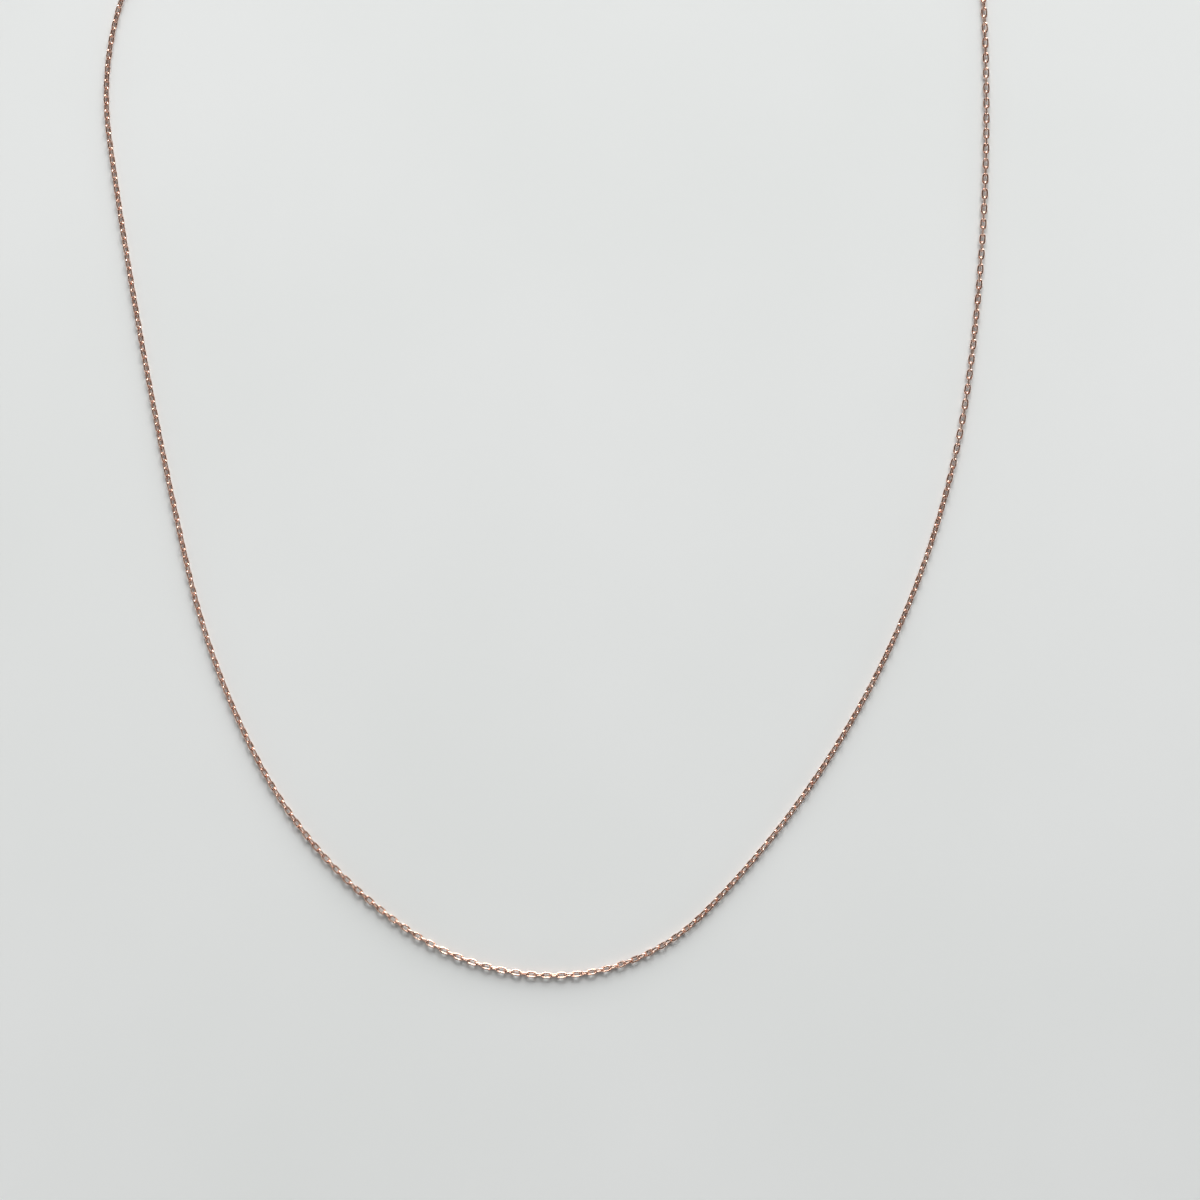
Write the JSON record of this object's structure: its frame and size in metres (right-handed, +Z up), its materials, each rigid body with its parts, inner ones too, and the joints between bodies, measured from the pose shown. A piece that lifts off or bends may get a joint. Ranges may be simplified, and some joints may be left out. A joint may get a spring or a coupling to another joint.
{
  "type": "chain necklace",
  "caption": "Fine rose-gold cable chain necklace laid flat and unfastened, with a sprung ring clasp at one end and a flat catch tab at the other.",
  "frame": {"origin": "middle of the necklace as it lies, on the surface under it", "axes": "+Z up from the surface, -Y towards the front of the neckline, +Y towards the clasp and the tab, +X to the right as seen from above with the front towards the viewer"},
  "size_m": [0.1173, 0.19, 0.0009],
  "materials": {
    "chain_gold": "polished rose gold",
    "clasp_gold": "polished rose gold",
    "spring_steel": "drawn spring wire"
  },
  "bodies": {
    "front_run": {"front_run_even": "chain_gold", "front_run_odd": "chain_gold"},
    "left_run_01": {"left_run_01_even": "chain_gold", "left_run_01_odd": "chain_gold"},
    "right_run_01": {"right_run_01_even": "chain_gold", "right_run_01_odd": "chain_gold"},
    "left_run_02": {"left_run_02_even": "chain_gold", "left_run_02_odd": "chain_gold"},
    "right_run_02": {"right_run_02_even": "chain_gold", "right_run_02_odd": "chain_gold"},
    "left_run_03": {"left_run_03_even": "chain_gold", "left_run_03_odd": "chain_gold"},
    "right_run_03": {"right_run_03_even": "chain_gold", "right_run_03_odd": "chain_gold"},
    "left_run_04": {"left_run_04_even": "chain_gold", "left_run_04_odd": "chain_gold"},
    "right_run_04": {"right_run_04_even": "chain_gold", "right_run_04_odd": "chain_gold"},
    "left_run_05": {"left_run_05_even": "chain_gold", "left_run_05_odd": "chain_gold"},
    "right_run_05": {"right_run_05_even": "chain_gold", "right_run_05_odd": "chain_gold"},
    "left_run_06": {"left_run_06_even": "chain_gold", "left_run_06_odd": "chain_gold"},
    "right_run_06": {"right_run_06_even": "chain_gold", "right_run_06_odd": "chain_gold"},
    "left_run_07": {"left_run_07_even": "chain_gold", "left_run_07_odd": "chain_gold"},
    "right_run_07": {"right_run_07_even": "chain_gold", "right_run_07_odd": "chain_gold"},
    "left_run_08": {"left_run_08_even": "chain_gold", "left_run_08_odd": "chain_gold"},
    "right_run_08": {"right_run_08_even": "chain_gold", "right_run_08_odd": "chain_gold"},
    "left_run_09": {"left_run_09_even": "chain_gold", "left_run_09_odd": "chain_gold"},
    "right_run_09": {"right_run_09_even": "chain_gold", "right_run_09_odd": "chain_gold"},
    "left_run_10": {"left_run_10_even": "chain_gold", "left_run_10_odd": "chain_gold"},
    "right_run_10": {"right_run_10_even": "chain_gold", "right_run_10_odd": "chain_gold"},
    "left_run_11": {"left_run_11_even": "chain_gold", "left_run_11_odd": "chain_gold"},
    "right_run_11": {"right_run_11_even": "chain_gold", "right_run_11_odd": "chain_gold"},
    "left_run_12": {"left_run_12_even": "chain_gold", "left_run_12_odd": "chain_gold"},
    "right_run_12": {"right_run_12_even": "chain_gold", "right_run_12_odd": "chain_gold"},
    "clasp": {"clasp_case": "clasp_gold", "clasp_eye": "clasp_gold", "clasp_spring": "spring_steel"},
    "bolt": {"clasp_bolt": "clasp_gold", "clasp_knob": "clasp_gold"},
    "tab": {"end_tab": "clasp_gold"}
  },
  "joints": [
    {"name": "bolt_draw", "type": "hinge", "parent": "clasp", "child": "bolt", "pos_m": [-0.00484, 0.07642, 0.00045], "axis": [0, 0, 1], "range_deg": [0, 75], "stiffness_Nm_per_rad": 0.0008, "springref_deg": -20.05, "deforming": ["clasp_spring"]},
    {"name": "clasp_swing", "type": "hinge", "parent": "left_run_12", "child": "clasp", "pos_m": [-0.00847, 0.07573, 0.00045], "axis": [0, 0, 1], "range_deg": [-60, 60]},
    {"name": "tab_swing", "type": "hinge", "parent": "right_run_12", "child": "tab", "pos_m": [0.02711, 0.09127, 0.00045], "axis": [0, 0, 1], "range_deg": [-60, 60]},
    {"name": "left_swing_01", "type": "hinge", "parent": "front_run", "child": "left_run_01", "pos_m": [-0.00347, -0.0943, 0.00042], "axis": [0, 0, -1], "range_deg": [-22, 15]},
    {"name": "right_swing_01", "type": "hinge", "parent": "front_run", "child": "right_run_01", "pos_m": [0.0055, -0.09424, 0.00041], "axis": [0, 0, 1], "range_deg": [-22, 14]},
    {"name": "left_lift_02", "type": "hinge", "parent": "left_run_01", "child": "left_run_02", "pos_m": [-0.0199, -0.08745, 0.00043], "axis": [0.5885, 0.8085, 0], "range_deg": [0, 20]},
    {"name": "right_lift_02", "type": "hinge", "parent": "right_run_01", "child": "right_run_02", "pos_m": [0.02117, -0.08604, 0.00037], "axis": [0.7102, -0.704, 0], "range_deg": [0, 20]},
    {"name": "left_swing_03", "type": "hinge", "parent": "left_run_02", "child": "left_run_03", "pos_m": [-0.03269, -0.07488, 0.0004], "axis": [0, 0, 1], "range_deg": [-21, 22]},
    {"name": "right_swing_03", "type": "hinge", "parent": "right_run_02", "child": "right_run_03", "pos_m": [0.03288, -0.07238, 0.00035], "axis": [0, 0, -1], "range_deg": [-13, 22]},
    {"name": "left_lift_04", "type": "hinge", "parent": "left_run_03", "child": "left_run_04", "pos_m": [-0.04146, -0.05921, 0.00036], "axis": [-0.9191, -0.3939, 0], "range_deg": [-20, 0]},
    {"name": "right_lift_04", "type": "hinge", "parent": "right_run_03", "child": "right_run_04", "pos_m": [0.04248, -0.05717, 0.00035], "axis": [-0.882, 0.4713, 0], "range_deg": [-20, 0]},
    {"name": "left_swing_05", "type": "hinge", "parent": "left_run_04", "child": "left_run_05", "pos_m": [-0.04714, -0.04216, 0.00035], "axis": [0, 0, -1], "range_deg": [-22, 22]},
    {"name": "right_swing_05", "type": "hinge", "parent": "right_run_04", "child": "right_run_05", "pos_m": [0.04978, -0.04074, 0.00035], "axis": [0, 0, 1], "range_deg": [-22, 13]},
    {"name": "left_lift_06", "type": "hinge", "parent": "left_run_05", "child": "left_run_06", "pos_m": [-0.05095, -0.02456, 0.00035], "axis": [0.9802, 0.198, 0], "range_deg": [0, 20]},
    {"name": "right_lift_06", "type": "hinge", "parent": "right_run_05", "child": "right_run_06", "pos_m": [0.05463, -0.02342, 0.00045], "axis": [0.98, -0.1991, 0], "range_deg": [0, 20]},
    {"name": "left_swing_07", "type": "hinge", "parent": "left_run_06", "child": "left_run_07", "pos_m": [-0.05428, -0.00687, 0.00035], "axis": [0, 0, 1], "range_deg": [-22, 22]},
    {"name": "right_swing_07", "type": "hinge", "parent": "right_run_06", "child": "right_run_07", "pos_m": [0.05708, -0.0056, 0.00043], "axis": [0, 0, -1], "range_deg": [-14, 22]},
    {"name": "left_lift_08", "type": "hinge", "parent": "left_run_07", "child": "left_run_08", "pos_m": [-0.05712, 0.0109, 0.00035], "axis": [-0.9895, -0.1443, 0], "range_deg": [-20, 0]},
    {"name": "right_lift_08", "type": "hinge", "parent": "right_run_07", "child": "right_run_08", "pos_m": [0.05816, 0.01237, 0.00045], "axis": [-0.9996, 0.0274, 0], "range_deg": [-20, 0]},
    {"name": "left_swing_09", "type": "hinge", "parent": "left_run_08", "child": "left_run_09", "pos_m": [-0.05769, 0.0288, 0.00035], "axis": [0, 0, -1], "range_deg": [-22, 22]},
    {"name": "right_swing_09", "type": "hinge", "parent": "right_run_08", "child": "right_run_09", "pos_m": [0.05807, 0.03036, 0.00043], "axis": [0, 0, 1], "range_deg": [-22, 21]},
    {"name": "left_lift_10", "type": "hinge", "parent": "left_run_09", "child": "left_run_10", "pos_m": [-0.05134, 0.04554, 0.00035], "axis": [0.8675, -0.4975, 0], "range_deg": [0, 20]},
    {"name": "right_lift_10", "type": "hinge", "parent": "right_run_09", "child": "right_run_10", "pos_m": [0.05675, 0.04831, 0.00036], "axis": [0.9906, 0.1371, 0], "range_deg": [0, 20]},
    {"name": "left_swing_11", "type": "hinge", "parent": "left_run_10", "child": "left_run_11", "pos_m": [-0.04026, 0.05964, 0.00035], "axis": [0, 0, 1], "range_deg": [-22, 22]},
    {"name": "right_swing_11", "type": "hinge", "parent": "right_run_10", "child": "right_run_11", "pos_m": [0.05158, 0.06548, 0.00035], "axis": [0, 0, -1], "range_deg": [-22, 22]},
    {"name": "left_lift_12", "type": "hinge", "parent": "left_run_11", "child": "left_run_12", "pos_m": [-0.0256, 0.06999, 0.00041], "axis": [-0.4524, 0.8918, 0], "range_deg": [-20, 0]},
    {"name": "right_lift_12", "type": "hinge", "parent": "right_run_11", "child": "right_run_12", "pos_m": [0.04142, 0.08024, 0.00041], "axis": [-0.7261, -0.6876, 0], "range_deg": [-20, 0]}
  ]
}
